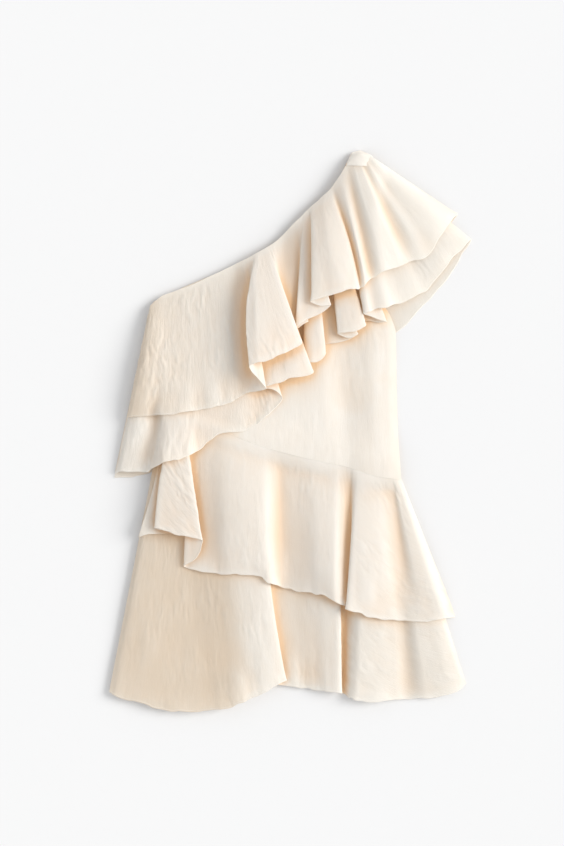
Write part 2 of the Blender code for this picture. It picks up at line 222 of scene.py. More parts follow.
skirtUnderFrontFolds = (
    (-202, -290, -419, 6, 0),     # left side seam
    (-200, -277, -426, 11, 0),
    (-192, -237, -438, 13, 0),
    (-180, -200, -448, 13, 0),
    (-164, -157, -451, 13, 0),
    (-140, -109, -446, 17, 0),
    (-112, -70, -432, 22, 0),
    (-80, -42, -419, 23, -4),
    (-40, -6, -400, 18, -12),     # crest of the big left fold
    (-34, -21, -405, 11, -6),
    (-26, -5, -410, 5, 0),
    (-12, 18, -413, 6, 0),
    (14, 42, -416, 10, 0),
    (48, 62, -418, 15, 0),
    (72, 77, -421, 16.5, 0),
    (78, 83, -422, 13, 0),        # right edge of the left panel
    (83, 79, -421, 8.5, 0),
    (88, 75, -420, 4, 0),         # turns right again, below
    (94, 84, -423, 0.5, 0),       # floor of the deep fold
    (101, 91, -426, 6, 0),
    (110, 98, -428, 12, 0),
    (122, 109, -434, 16, 0),
    (139, 144, -434, 14, 0),
    (152, 170, -432, 9, 0),
    (162, 192, -430, 4, 0),       # valley
    (166, 221, -429, 10, 0),
    (171, 253, -422, 10, 0),
    (175, 275, -414, 7, 0),
    (178, 283, -408, 2, 0),       # right side seam
)

skirtOverFrontFolds = (
    (-202, -243, -171, 2, 8),     # left side seam
    (-201, -224, -166, 3, 6),
    (-199, -200, -166, 1, 4),
    (-197, -176, -166, 3.5, 0),   # turns back under the side cascade
    (-192, -196, -161, 9, -2),
    (-186, -216, -155, 14.5, -5),  # left edge of the side cascade
    (-181, -195, -162, 17.5, -2),
    (-176, -160, -170, 18, 0),
    (-171, -140, -175, 15, 0),    # right edge of the side cascade
    (-168, -141, -190, 12, 0),
    (-164, -155, -207, 8.5, 0),
    (-160, -170, -216, 4.5, 0),   # turns right again, below
    (-150, -160, -222, 0.5, 0),
    (-131, -128, -227, 4, 0),
    (-99, -99, -229, 12, 0),
    (-67, -69, -229, 14.5, 0),
    (-45, -45, -234, 15, 0),
    (-26, -32, -245, 11, 0),
    (-14, -10, -251, 5, 0),       # valley
    (11, 16, -258, 7, 0),
    (45, 48, -262, 13, 0),
    (70, 67, -270, 13.5, 0),
    (82, 80, -277, 8, 0),
    (90, 92, -280, 2, 0),         # floor of the deep fold
    (96, 101, -283, 0.5, 0),      # turns back under the right panel
    (101, 95, -284, 7.5, 0),
    (106, 89, -284, 12.5, 0),     # left edge of the right panel
    (113, 99, -287, 15.5, 0),
    (122, 115, -293, 15, 0),
    (139, 147, -302, 13, 0),
    (152, 176, -304, 8, 0),
    (162, 195, -306, 4, 0),       # valley
    (166, 218, -306, 9, 0),
    (171, 243, -302, 10, 0),
    (175, 259, -299, 6, 0),
    (178, 266, -299, 2, 0),       # right side seam
)

skirtUnderBackFolds = (
    (-202, -289, -418, 0, 0),
    (-180, -232, -432, 0, 0),
    (-150, -157, -442, 0, 0),
    (-112, -80, -430, 0, 0),
    (-40, -6, -396, 0, 0),
    (45, 50, -408, 0, 0),
    (92, 100, -414, 0, 0),
    (139, 144, -426, 0, 0),
    (162, 221, -422, 0, 0),
    (178, 282, -407, 0, 0),
)

skirtOverBackFolds = (
    (-202, -244, -172, 0, 8),
    (-180, -190, -182, 0, 0),
    (-150, -136, -206, 0, 0),
    (-112, -64, -220, 0, 0),
    (-40, 16, -246, 0, 0),
    (45, 60, -256, 0, 0),
    (92, 100, -274, 0, 0),
    (139, 144, -292, 0, 0),
    (162, 216, -296, 0, 0),
    (178, 264, -298, 0, 0),
)

yokeSections = (  # left_x, left_y, right_x, right_y, lift
    (100, 446, 113, 450, 0.0),
    (97, 440, 124, 444, 1.0),
    (93, 433, 133, 437, 1.5),
    (90, 424, 134, 422, 0.5),
)


# Smooth curves and the height bed, as the rigid model has them.
def monotone(values, at, turns=()):
    # Through values at 0, 1, 2 and so on, never past them. It runs faster through a turn, to round it.
    values = np.asarray(values, float)
    steps = np.diff(values)
    slopes = np.empty_like(values)
    slopes[0], slopes[-1] = steps[0], steps[-1]
    before, after = steps[:-1], steps[1:]
    sameWay = before * after > 0
    slopes[1:-1] = 0
    slopes[1:-1][sameWay] = 2 * before[sameWay] * after[sameWay] / (before + after)[sameWay]
    for i in turns:
        least = min(abs(steps[i - 1]), abs(steps[i]))
        if slopes[i]:
            slopes[i] = math.copysign(turnFullness * least, slopes[i])
    i = np.clip(np.floor(at).astype(int), 0, len(values) - 2)
    t = at - i
    return (
        (2 * t**3 - 3 * t**2 + 1) * values[i]
        + (t**3 - 2 * t**2 + t) * slopes[i]
        + (-2 * t**3 + 3 * t**2) * values[i + 1]
        + (t**3 - t**2) * slopes[i + 1]
    )


turnFullness = 2.6


def along(path, x):
    xs = np.array([p[0] for p in path], float)
    return monotone([p[1] for p in path], np.interp(x, xs, np.arange(len(xs))))


bed = {"step": 3.0, "halfWidth": 330.0, "halfLength": 490.0}
bedHeight = np.full(
    (int(2 * bed["halfWidth"] / bed["step"]) + 1, int(2 * bed["halfLength"] / bed["step"]) + 1), -cadGap
)


def bedCells(x, y):
    return (x + bed["halfWidth"]) / bed["step"], (y + bed["halfLength"]) / bed["step"]


def softened(heights, reach):
    # The least smooth height that clears the bed: widened, then averaged over the same reach.
    cells = range(-round(reach / bed["step"]), round(reach / bed["step"]) + 1)
    for axis in (0, 1):
        heights = np.max([np.roll(heights, k, axis) for k in cells], axis=0)
    for axis in (0, 1):
        heights = np.mean([np.roll(heights, k, axis) for k in cells], axis=0)
    return heights


def sample(heights, x, y):
    column, row = bedCells(x, y)
    i, j = np.floor(column).astype(int), np.floor(row).astype(int)
    s, t = column - i, row - j
    return (
        heights[i, j] * (1 - s) * (1 - t) + heights[i + 1, j] * s * (1 - t)
        + heights[i, j + 1] * (1 - s) * t + heights[i + 1, j + 1] * s * t
    )


def turnRows(folds):
    hemX = [fold[1] for fold in folds]
    return [i for i in range(1, len(folds) - 1) if (hemX[i] - hemX[i - 1]) * (hemX[i + 1] - hemX[i]) < 0]


def flounceShape(folds, seam, settings, u, v):
    # The lift grows from the seam, and at the hem the share that rests comes down again.
    seamX, hemX, hemY, lift, bow = zip(*folds)
    startX = monotone(seamX, u)
    x = startX * (1 - v) + monotone(hemX, u) * v + monotone(bow, u) * np.sin(math.pi * v)
    y = (along(seam, startX) - seamGap) * (1 - v) + monotone(hemY, u) * v
    resting = np.interp(startX, *zip(*settings["rests"])) * v**5
    lift = monotone(lift, u, turnRows(folds)) * (1 - (1 - v) ** 3) * (1 - resting)
    return x, y, lift, np.interp(startX, *zip(*settings["close"]))


seamGap = 0.3


def bodiceShape(sections, folds, u, v):
    leftX, leftY, rightX, rightY = (monotone(column, v) for column in zip(*sections))
    x = leftX * (1 - u) + rightX * u
    y = leftY * (1 - u) + rightY * u
    straight = sections[0][1] * (1 - u) + sections[0][3] * u
    y = y + np.clip(1 - v, 0, 1) * (along(waistSeam, x) + seamGap - straight)
    waistX = sections[0][0] * (1 - u) + sections[0][2] * u
    at = np.interp(waistX, [f[0] for f in folds], np.arange(len(folds)))
    chest = np.clip(v / 4, 0, 1)
    lift = monotone([f[1] for f in folds], at) * (1 - chest) + monotone([f[2] for f in folds], at) * chest
    return x, y, lift, 0


def yokeShape(sections, u, v):
    leftX, leftY, rightX, rightY, lift = (monotone(column, v) for column in zip(*sections))
    return leftX * (1 - u) + rightX * u, leftY * (1 - u) + rightY * u, lift * np.sin(math.pi * u), 0


def layPiece(shape, lastU, lastV, u, v, reach):
    # Places a piece on the bed and lets it sink until it almost touches. The bed then carries it too.
    # Where the piece lies close it follows the bed at a short reach, and elsewhere at its own.
    ground, near = softened(bedHeight, reach), softened(bedHeight, closeReach)

    def place(us, vs):
        x, y, lift, close = shape(us, vs)
        height = sample(ground, x, y) * (1 - close) + sample(near, x, y) * close
        return np.stack([x, y, height + cadWall / 2 + lift], axis=-1)

    probe = place(*np.meshgrid(np.linspace(0, lastU, 900), np.linspace(0, lastV, 260), indexing="ij"))
    clearance = probe[..., 2] - cadWall / 2 - sample(bedHeight, probe[..., 0], probe[..., 1])
    settle = cadGap - clearance.min()
    column, row = bedCells(probe[..., 0], probe[..., 1])
    cells = np.round(column).astype(int).ravel(), np.round(row).astype(int).ravel()
    np.maximum.at(bedHeight, cells, (probe[..., 2] + settle + cadWall / 2).ravel())
    return place(u, v) + (0, 0, settle)


closeReach = 6.0


# Fine relief of the cloth.
def noise(x, y, seed):
    # Smooth noise from -1 to 1, one lattice cell per unit.
    lattice = np.random.default_rng(seed).uniform(-1, 1, (128, 128))
    i, j = np.floor(x).astype(int), np.floor(y).astype(int)
    s, t = x - i, y - j
    s, t = s * s * s * (s * (s * 6 - 15) + 10), t * t * t * (t * (t * 6 - 15) + 10)
    i, j = i % 127, j % 127
    low = lattice[i, j] * (1 - s) + lattice[i + 1, j] * s
    high = lattice[i, j + 1] * (1 - s) + lattice[i + 1, j + 1] * s
    return (low * (1 - t) + high * t) * 1.6


def crinkle(across, down, seed):
    # Crepe: narrow, broken creases that run down the cloth between low pillows, from -1 to 1.
    bent = across + 2.6 * noise(across / 17, down / 24, seed) + 1.1 * noise(across / 8, down / 9, seed + 1)
    wide = 2 * np.abs(noise(bent / 6.2, down / 30, seed + 2)) - 0.8
    narrow = 2 * np.abs(noise(bent / 4.3, down / 15, seed + 3)) - 0.8
    strength = 0.65 + 0.45 * noise(across / 38, down / 42, seed + 4)
    return strength * (0.6 * wide + 0.5 * narrow)


def unit(vectors):
    return vectors / np.maximum(np.linalg.norm(vectors, axis=-1, keepdims=True), 1e-9)


def normalsOf(points):
    down = np.diff(points, axis=1)
    down = unit(np.concatenate([down[:, :1], (down[:, :-1] + down[:, 1:]) / 2, down[:, -1:]], axis=1))
    steps = np.diff(points, axis=0)
    between = unit(down[:-1] + down[1:])
    steps = unit(steps - np.sum(steps * between, axis=-1, keepdims=True) * between)
    over = np.concatenate([steps[:1], steps]) + np.concatenate([steps, steps[-1:]])
    return unit(np.cross(down, over))


def clothShell(name, points, half, maps, values, material):
    # A closed shell: a grid pulled onto one side of the cloth, then extruded through to the other.
    columns, rows = points.shape[:2]
    across = normalsOf(points) * half[..., None]
    upper = (points + across - (*centre, 0)) * mm
    lower = (points - across - (*centre, 0)) * mm
    bm = bmesh.new()
    bmesh.ops.create_grid(bm, x_segments=columns - 1, y_segments=rows - 1, size=0.5)
    placeOf = bm.verts.layers.int.new("place")
    for vertex in bm.verts:
        i = round((vertex.co.x + 0.5) * (columns - 1))
        j = round((vertex.co.y + 0.5) * (rows - 1))
        vertex[placeOf] = i * rows + j
        vertex.co = upper[i, j]
    lower = lower.reshape(-1, 3)
    made = bmesh.ops.extrude_face_region(bm, geom=bm.faces[:], use_keep_orig=True)["geom"]
    for vertex in (item for item in made if isinstance(item, bmesh.types.BMVert)):
        vertex.co = lower[vertex[placeOf]]
    bmesh.ops.recalc_face_normals(bm, faces=bm.faces)
    mesh = bpy.data.meshes.new(name)
    bm.to_mesh(mesh)
    bm.free()
    places = np.empty(len(mesh.vertices), np.int32)
    mesh.attributes["place"].data.foreach_get("value", places)
    corners = np.empty(len(mesh.loops), np.int32)
    mesh.loops.foreach_get("vertex_index", corners)
    for mapName, coordinates in maps.items():
        layer = mesh.uv_layers.new(name=mapName)
        layer.data.foreach_set("uv", coordinates.reshape(-1, 2)[places[corners]].astype(np.float32).ravel())
    for valueName, value in values.items():
        layer = mesh.attributes.new(valueName, "FLOAT", "POINT")
        layer.data.foreach_set("value", value.ravel()[places].astype(np.float32))
    mesh.shade_smooth()
    mesh.set_sharp_from_angle(angle=math.radians(70))
    mesh.materials.append(material)
    obj = bpy.data.objects.new(name, mesh)
    bpy.context.scene.collection.objects.link(obj)
    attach(obj, "root")
    return obj


# Materials. The cloth map holds the distance along the cloth and down it, and the hem map the distance
# along the hem and in from it, all in metres.
def link(tree, source, target):
    tree.links.new(source, target)


def newGroup(name, inputs, outputs):
    tree = bpy.data.node_groups.new(name, "ShaderNodeTree")
    for socket, kind in inputs.items():
        tree.interface.new_socket(socket, in_out="INPUT", socket_type=kind)
    for socket, kind in outputs.items():
        tree.interface.new_socket(socket, in_out="OUTPUT", socket_type=kind)
    return tree, tree.nodes.new("NodeGroupInput"), tree.nodes.new("NodeGroupOutput")


def mathNode(tree, operation, first, second=0.0, clamp=False):
    node = tree.nodes.new("ShaderNodeMath")
    node.operation = operation
    node.use_clamp = clamp
    for socket, value in zip(node.inputs, (first, second)):
        if isinstance(value, (int, float)):
            socket.default_value = value
        else:
            link(tree, value, socket)
    return node.outputs[0]


def weighed(tree, first, second):
    # The sum of two values, each with its weight.
    shares = (mathNode(tree, "MULTIPLY", value, weight) for value, weight in (first, second))
    return mathNode(tree, "ADD", *shares)


def mixNode(tree, factor, first, second):
    node = tree.nodes.new("ShaderNodeMix")
    node.data_type = "RGBA"
    link(tree, factor, node.inputs["Factor"])
    for name, color in (("A", first), ("B", second)):
        if isinstance(color, tuple):
            node.inputs[name].default_value = (*color, 1)
        else:
            link(tree, color, node.inputs[name])
    return node.outputs["Result"]


def scaledVector(tree, vector, cell):
    # Coordinates in cells of that size, in metres.
    node = tree.nodes.new("ShaderNodeVectorMath")
    node.operation = "DIVIDE"
    link(tree, vector, node.inputs[0])
    node.inputs[1].default_value = (cell[0], cell[1], 1.0)
    return node.outputs[0]


def noiseNode(tree, vector, cell, detail=2.0, roughness=0.5, distortion=0.0):
    node = tree.nodes.new("ShaderNodeTexNoise")
    node.inputs["Scale"].default_value = 1.0
    node.inputs["Detail"].default_value = detail
    node.inputs["Roughness"].default_value = roughness
    node.inputs["Distortion"].default_value = distortion
    link(tree, scaledVector(tree, vector, cell), node.inputs["Vector"])
    return node.outputs["Fac"]


def ridged(tree, value):
    # Narrow crests where the noise crosses its middle.
    away = mathNode(tree, "ABSOLUTE", mathNode(tree, "SUBTRACT", value, 0.5))
    return mathNode(tree, "SUBTRACT", 1.0, mathNode(tree, "MULTIPLY", away, 4.0), clamp=True)


def crepeGroup():
    # Fine crepe lines that run down the cloth, and the uneven tone of thin cloth.
    tree, given, made = newGroup(
        "crepe lines",
        {"Vector": "NodeSocketVector"},
        {"Height": "NodeSocketFloat", "Tone": "NodeSocketFloat"},
    )
    vector = given.outputs["Vector"]
    long = ridged(tree, noiseNode(tree, vector, (0.0042, 0.036), 3.0, 0.55, 0.5))
    short = ridged(tree, noiseNode(tree, vector, (0.0021, 0.012), 2.0, 0.5, 0.7))
    link(tree, weighed(tree, (long, 0.65), (short, 0.35)), made.inputs["Height"])
    cloud = noiseNode(tree, vector, (0.03, 0.05), 3.0, 0.5)
    slub = noiseNode(tree, vector, (0.0012, 0.02), 1.0, 0.5)
    link(tree, weighed(tree, (cloud, 0.6), (slub, 0.4)), made.inputs["Tone"])
    return tree


def paintedFoldShadeGroup():
    # Painted shade: the hollows of the folds are tinted warm orange in the base colour, standing in for the
    # shade in them and for light that has passed through neighbouring cloth.
    tree, given, made = newGroup(
        "painted fold shade", {"Color": "NodeSocketColor", "Hollow": "NodeSocketFloat"}, {"Color": "NodeSocketColor"}
    )
    share = mathNode(tree, "MULTIPLY", given.outputs["Hollow"], paintedFoldShadeTint["share"])
    color = mixNode(tree, share, given.outputs["Color"], paintedFoldShadeTint["color"])
    link(tree, color, made.inputs["Color"])
    return tree


# Colour and strength of the painted shade in the hollows of the folds.
paintedFoldShadeTint = {"share": 0.95, "color": (0.975, 0.68, 0.41)}


def threadGroup():
    # Plain weave of fine yarns, a little uneven.
    tree, given, made = newGroup(
        "plain weave", {"Vector": "NodeSocketVector"}, {"Height": "NodeSocketFloat"}
    )
    sheets = []
    for direction in ("X", "Y"):
        wave = tree.nodes.new("ShaderNodeTexWave")
        wave.wave_type = "BANDS"
        wave.bands_direction = direction
        wave.inputs["Scale"].default_value = 1.0
        wave.inputs["Distortion"].default_value = 1.2
        wave.inputs["Detail"].default_value = 1.0
        wave.inputs["Detail Scale"].default_value = 0.6
        link(tree, scaledVector(tree, given.outputs["Vector"], (0.0016, 0.0016)), wave.inputs["Vector"])
        sheets.append(wave.outputs["Fac"])
    link(tree, mathNode(tree, "MAXIMUM", *sheets), made.inputs["Height"])
    return tree


def stitchGroup():
    # A line of small stitches beside the hem: distance in from the edge, pitch, and how much shows.
    tree, given, made = newGroup("hem stitches", {"Vector": "NodeSocketVector"}, {"Mask": "NodeSocketFloat"})
    split = tree.nodes.new("ShaderNodeSeparateXYZ")
    link(tree, given.outputs["Vector"], split.inputs[0])
    off = mathNode(tree, "ABSOLUTE", mathNode(tree, "SUBTRACT", split.outputs["Y"], hemStitch["in"]))
    near = mathNode(tree, "LESS_THAN", off, hemStitch["width"] / 2)
    phase = mathNode(tree, "FRACT", mathNode(tree, "DIVIDE", split.outputs["X"], hemStitch["pitch"]))
    on = mathNode(tree, "LESS_THAN", phase, hemStitch["shown"])
    link(tree, mathNode(tree, "MULTIPLY", near, on), made.inputs["Mask"])
    return tree


hemStitch = {"in": 0.0024, "pitch": 0.0026, "width": 0.0005, "shown": 0.62, "depth": 0.3}


def clothMaterial(name, settings):
    material = bpy.data.materials.new(name)
    material.use_nodes = True
    tree = material.node_tree
    tree.nodes.clear()
    out = tree.nodes.new("ShaderNodeOutputMaterial")
    maps = {}
    for mapName in ("cloth", "hem"):
        maps[mapName] = tree.nodes.new("ShaderNodeUVMap")
        maps[mapName].uv_map = mapName

    def group(made, mapName):
        node = tree.nodes.new("ShaderNodeGroup")
        node.node_tree = made
        link(tree, maps[mapName].outputs[0], node.inputs["Vector"])
        return node

    def pointValue(valueName):
        node = tree.nodes.new("ShaderNodeAttribute")
        node.attribute_name = valueName
        return node.outputs["Fac"]

    crepe, weave = group(crepeLines, "cloth"), group(plainWeave, "cloth")
    stitches = group(hemStitches, "hem")
    # Base colour: a mix from the painted shade colour to the lit colour. The tone attribute, which is
    # painted light and shade, sets the mix, together with the random tone of the cloth.
    clouds = mathNode(tree, "MULTIPLY", mathNode(tree, "SUBTRACT", crepe.outputs["Tone"], 0.5), 0.7)
    shown = mathNode(tree, "ADD", pointValue("tone"), clouds, clamp=True)
    tone = mixNode(tree, shown, settings["shade"], settings["light"])
    stitched = mixNode(tree, stitches.outputs["Mask"], tone, settings["thread"])

    # Painted shade: the base colour is tinted warm in the hollows of the folds, masked by the hollow
    # attribute.
    glow = tree.nodes.new("ShaderNodeGroup")
    glow.node_tree = paintedFoldShade
    link(tree, stitched, glow.inputs["Color"])
    link(tree, pointValue("hollow"), glow.inputs["Hollow"])

    lines = mathNode(tree, "MULTIPLY", crepe.outputs["Height"], pointValue("crepe"))
    relief = weighed(tree, (lines, settings["crepe"]), (weave.outputs["Height"], settings["weave"]))
    relief = weighed(tree, (relief, 1.0), (stitches.outputs["Mask"], -hemStitch["depth"]))
    bump = tree.nodes.new("ShaderNodeBump")
    bump.inputs["Strength"].default_value = settings["bump"]
    bump.inputs["Distance"].default_value = 0.0005
    link(tree, relief, bump.inputs["Height"])

    front = tree.nodes.new("ShaderNodeBsdfPrincipled")
    front.inputs["Roughness"].default_value = settings["roughness"]
    front.inputs["Specular IOR Level"].default_value = 0.25
    front.inputs["Sheen Weight"].default_value = settings["sheen"]
    front.inputs["Sheen Roughness"].default_value = 0.4
    link(tree, glow.outputs["Color"], front.inputs["Base Color"])
    link(tree, bump.outputs["Normal"], front.inputs["Normal"])
    through = tree.nodes.new("ShaderNodeBsdfTranslucent")
    through.inputs["Color"].default_value = (*settings["glow"], 1)
    link(tree, bump.outputs["Normal"], through.inputs["Normal"])
    gap = tree.nodes.new("ShaderNodeBsdfTransparent")
    gap.inputs["Color"].default_value = (1, 1, 1, 1)
    lit = tree.nodes.new("ShaderNodeMixShader")
    lit.inputs["Fac"].default_value = settings["through"]
    link(tree, front.outputs[0], lit.inputs[1])
    link(tree, through.outputs[0], lit.inputs[2])
    sheer = tree.nodes.new("ShaderNodeMixShader")
    sheer.inputs["Fac"].default_value = settings["sheer"]
    link(tree, lit.outputs[0], sheer.inputs[1])
    link(tree, gap.outputs[0], sheer.inputs[2])
    link(tree, sheer.outputs[0], out.inputs["Surface"])
    return material


crepeLines, plainWeave, hemStitches, paintedFoldShade = (
    crepeGroup(), threadGroup(), stitchGroup(), paintedFoldShadeGroup()
)
# Each cloth has a painted shade colour and a lit colour for its painted light and shade, a stitch colour,
# and the colour of the light it lets through.
flounceCloth = clothMaterial("flounce_cloth", {
    "shade": (0.85, 0.745, 0.62), "light": (0.995, 0.97, 0.922), "thread": (0.99, 0.98, 0.96),
    "glow": (0.998, 0.95, 0.87), "through": 0.3, "sheer": 0.2,
    "crepe": 1.0, "weave": 0.1, "bump": 0.8, "roughness": 0.6, "sheen": 0.15,
})
bodyCloth = clothMaterial("body_cloth", {
    "shade": (0.85, 0.745, 0.62), "light": (0.995, 0.963, 0.91), "thread": (0.99, 0.98, 0.96),
    "glow": (0.998, 0.95, 0.87), "through": 0.22, "sheer": 0.05,
    "crepe": 1.0, "weave": 0.1, "bump": 0.8, "roughness": 0.6, "sheen": 0.15,
})
print("materials made")


# Pieces. They are laid from the floor up, then fitted to each other, and only then built.
quickGrid = {"flounce": (9.0, 14.0), "panel": (14, 18)}
hemRoll = {"depth": 2.8, "half": 0.6}       # narrow rolled hem
hemWave = {"reach": 16.0, "size": 0.9}      # unevenness of the hem line
clothHalf = 0.22
hemRowsIn = (0.0, 0.5, 1.1, 1.8, 2.7, 4.0)  # rows of the grid beside the hem, by distance in from it


def fineColumns(folds, spacing):
    places = []
    for i in range(len(folds) - 1):
        spans = max(3, round(math.dist(folds[i][1:3], folds[i + 1][1:3]) / spacing))
        places.extend(i + np.arange(spans) / spans)
    return np.array(places + [len(folds) - 1], float)


def arcs(row):
    return np.concatenate([[0], np.cumsum(np.linalg.norm(np.diff(row, axis=0), axis=1))])


def smoothStep(value, start, end):
    t = np.clip((value - start) / (end - start), 0, 1)
    return t * t * (3 - 2 * t)


def zoned(value, zones):
    # Each zone is its upper limit and what holds in it.
    limits = [zone[0] for zone in zones[:-1]]
    return np.array([zone[1] for zone in zones], float)[np.searchsorted(limits, value)]


def layFlounce(node, folds, seam, settings):
    settings = {**flounceDefaults, **settings}
    spacing, rowSpacing = settings["grid"] if fine else quickGrid["flounce"]
    u = fineColumns(folds, spacing)
    start = flounceShape(folds, seam, settings, u, 0.0 * u)
    end = flounceShape(folds, seam, settings, u, 0.0 * u + 1)
    length = np.hypot(end[0] - start[0], end[1] - start[1])
    even = np.linspace(0, 1, max(4, round(length.mean() / rowSpacing)))[None, :]
    inner = 1 - hemRowsIn[-1] / length[:, None]
    edge = 1 - np.array(hemRowsIn[-2::-1])[None, :] / length[:, None]
    v = np.concatenate([even * inner, edge], axis=1)
    points = layPiece(
        lambda a, b: flounceShape(folds, seam, settings, a, b), len(folds) - 1, 1,
        np.repeat(u[:, None], v.shape[1], axis=1), v, settings["reach"],
    )
    return {
        "node": node, "points": points, "v": v, "length": length[:, None], "settings": settings,
        "seamX": start[0][:, None] + 0 * v,
    }


flounceDefaults = {
    "rests": ((-300, 0.0), (300, 0.0)), "grain": ((0, 0.0),), "crepe": ((0, 0.4),), "flutter": 1.0,
    "paintedShading": ((0, 0.6),), "paintedFoldShadeShare": ((0, 1.0),), "close": ((0, 0.0),),
}


def finishFlounce(laid):
    settings, points, v, length = laid["settings"], laid["points"], laid["v"], laid["length"]
    across = np.repeat(arcs(points[:, round(points.shape[1] * 0.6)])[:, None], v.shape[1], axis=1)
    hemArc = arcs(points[:, -1])
    seamArc = arcs(points[:, 0])
    down, fromHem = v * length, (1 - v) * length
    angle = np.radians(zoned(laid["seamX"], settings["grain"]))
    crepe = zoned(laid["seamX"], settings["crepe"])
    grain = across * np.cos(angle) + down * np.sin(angle), down * np.cos(angle) - across * np.sin(angle)

    seed = settings["seed"]
    calm = smoothStep(down, 0, 22)
    relief = crepeHeight * crepe * calm * crinkle(*grain, seed)
    points = points + normalsOf(points) * relief[..., None]
    flutter = settings["flutter"] * smoothStep(v, 0.6, 1)
    points[..., 2] += flutter * noise(across / 21, down / 60, seed + 7)
    wobble = hemWave["size"] * smoothStep(fromHem, hemWave["reach"], 0)
    points[..., 0] += wobble * noise(across / 13, across * 0, seed + 8)
    points[..., 1] += wobble * noise(across / 11, across * 0, seed + 9)

    fromRoll = (fromHem - hemRoll["depth"] / 2) / (hemRoll["depth"] / 2)
    half = clothHalf + (hemRoll["half"] - clothHalf) * np.sqrt(np.clip(1 - fromRoll**2, 0, 1))
    maps = {
        "cloth": np.stack(grain, axis=-1) * mm,
        "hem": np.stack([np.repeat(hemArc[:, None], v.shape[1], axis=1), fromHem], axis=-1) * mm,
    }
    # Painted light and shade: the tone attribute is each fold's level in its painted shading table, and the
    # hollow attribute masks the painted shade in the folds.
    tone = np.interp(laid["seamX"], *zip(*settings["paintedShading"]))
    paintedFoldShadeShare = np.interp(laid["seamX"], *zip(*settings["paintedFoldShadeShare"]))
    values = {"hollow": paintedFoldShadeShare * hollowOf(points), "crepe": crepe * calm, "tone": tone}
    piece = clothShell(laid["node"], points, half, maps, values, flounceCloth)
    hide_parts(laid["node"])
    width, depth = float(hemArc[-1]), float(length.max())
    area = cutArea(seamArc, hemArc, length[:, 0])
    print(f"{laid['node']}: cut {width:.0f} x {depth:.0f} mm, {area / 1e6:.3f} square metres")
    return piece, (width * mm, depth * mm), area / 1e6


crepeHeight = 0.68


def cutArea(seamArc, hemArc, length):
    # Area of the flat flounce: strips between neighbouring fold lines.
    widths = (np.diff(seamArc) + np.diff(hemArc)) / 2
    return float(np.sum(widths * (length[1:] + length[:-1]) / 2))


def layPanel(node, shape, lastRow, settings):
    columns, rows = settings["grid"] if fine else quickGrid["panel"]
    u, v = np.meshgrid(np.linspace(0, 1, columns), np.linspace(0, lastRow, rows), indexing="ij")
    return {"node": node, "points": layPiece(shape, 1, lastRow, u, v, settings["reach"]), "u": u, "v": v,
            "settings": settings}


def panelArea(points):
    # Area seen from above, strip by strip between neighbouring rows of points.
    x, y = points[..., 0], points[..., 1]
    cross = (x[1:, 1:] - x[:-1, :-1]) * (y[:-1, 1:] - y[1:, :-1])
    cross -= (y[1:, 1:] - y[:-1, :-1]) * (x[:-1, 1:] - x[1:, :-1])
    return abs(float(np.sum(cross))) / 2


def finishPanel(laid):
    points, u, settings = laid["points"], laid["u"], laid["settings"]
    across, down = points[..., 0], -points[..., 1]
    edge = np.minimum(smoothStep(u, 0, 0.06), smoothStep(u, 1, 0.94))
    relief = crepeHeight * settings["crepe"] * edge * crinkle(across, down, settings["seed"])
    points = points + normalsOf(points) * relief[..., None]
    half = np.full(u.shape, settings["half"])
    maps = {
        "cloth": np.stack([across, down], axis=-1) * mm,
        "hem": np.stack([across * 0, across * 0 + 1000], axis=-1) * mm,
    }
    # Painted light and shade: the tone attribute follows the painted shading table across the panel, and the
    # hollow attribute masks the painted shade in the folds.
    tone = np.interp(points[..., 0], *zip(*settings["paintedShading"]))
    hollow = settings["paintedFoldShadeShare"] * hollowOf(points)
    values = {"hollow": hollow, "crepe": edge * settings["crepe"], "tone": tone}
    piece = clothShell(laid["node"], points, half, maps, values, bodyCloth)
    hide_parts(laid["node"])
    sizes = points.max(axis=(0, 1)) - points.min(axis=(0, 1))
    area = panelArea(points)
    print(f"{laid['node']}: cut {sizes[0]:.0f} x {sizes[1]:.0f} mm, {area / 1e6:.3f} square metres")
    return piece, (float(sizes[0]) * mm, float(sizes[1]) * mm), area / 1e6


def meanOver(heights, reach):
    cells = range(-round(reach / bed["step"]), round(reach / bed["step"]) + 1)
    for axis in (0, 1):
        heights = np.mean([np.roll(heights, k, axis) for k in cells], axis=0)
    return heights


def hollowOf(points):
    # How far a place lies below the cloth around it, from 0 to 1. It masks the painted shade of the folds.
    total = 0
    for reach, depth in hollowScales:
        around = sample(meanOver(bedHeight, reach), points[..., 0], points[..., 1])
        total = total + np.clip((around - points[..., 2]) / depth, 0, 1)
    return total / len(hollowScales)


hollowScales = ((9, 5.0), (24, 9.0))        # reach and the depth that counts as full


# The painted shading tables below paint light and shade onto each piece by x, from 0 for the painted shade
# colour to 1 for the lit colour. Places are darker where a fold faces away from the key light or lies in
# shade, and lighter where it faces the light. The back pieces and the shoulder band get one level each.
backSettings = {
    "grid": (5.0, 6.0), "reach": 27.0, "flutter": 0.0, "paintedFoldShadeShare": ((0, 0.3),), "paintedShading": ((0, 0.95),),
}
neckOverBack = layFlounce(
    "neck_over_back", neckOverBackFolds, neckline, {**backSettings, "reach": 12.0, "seed": 11}
)
neckUnderBack = layFlounce("neck_under_back", neckUnderBackFolds, neckline, {**backSettings, "seed": 23})
skirtOverBack = layFlounce("skirt_over_back", skirtOverBackFolds, waistSeam, {**backSettings, "seed": 37})
skirtUnderBack = layFlounce("skirt_under_back", skirtUnderBackFolds, waistSeam, {**backSettings, "seed": 41})

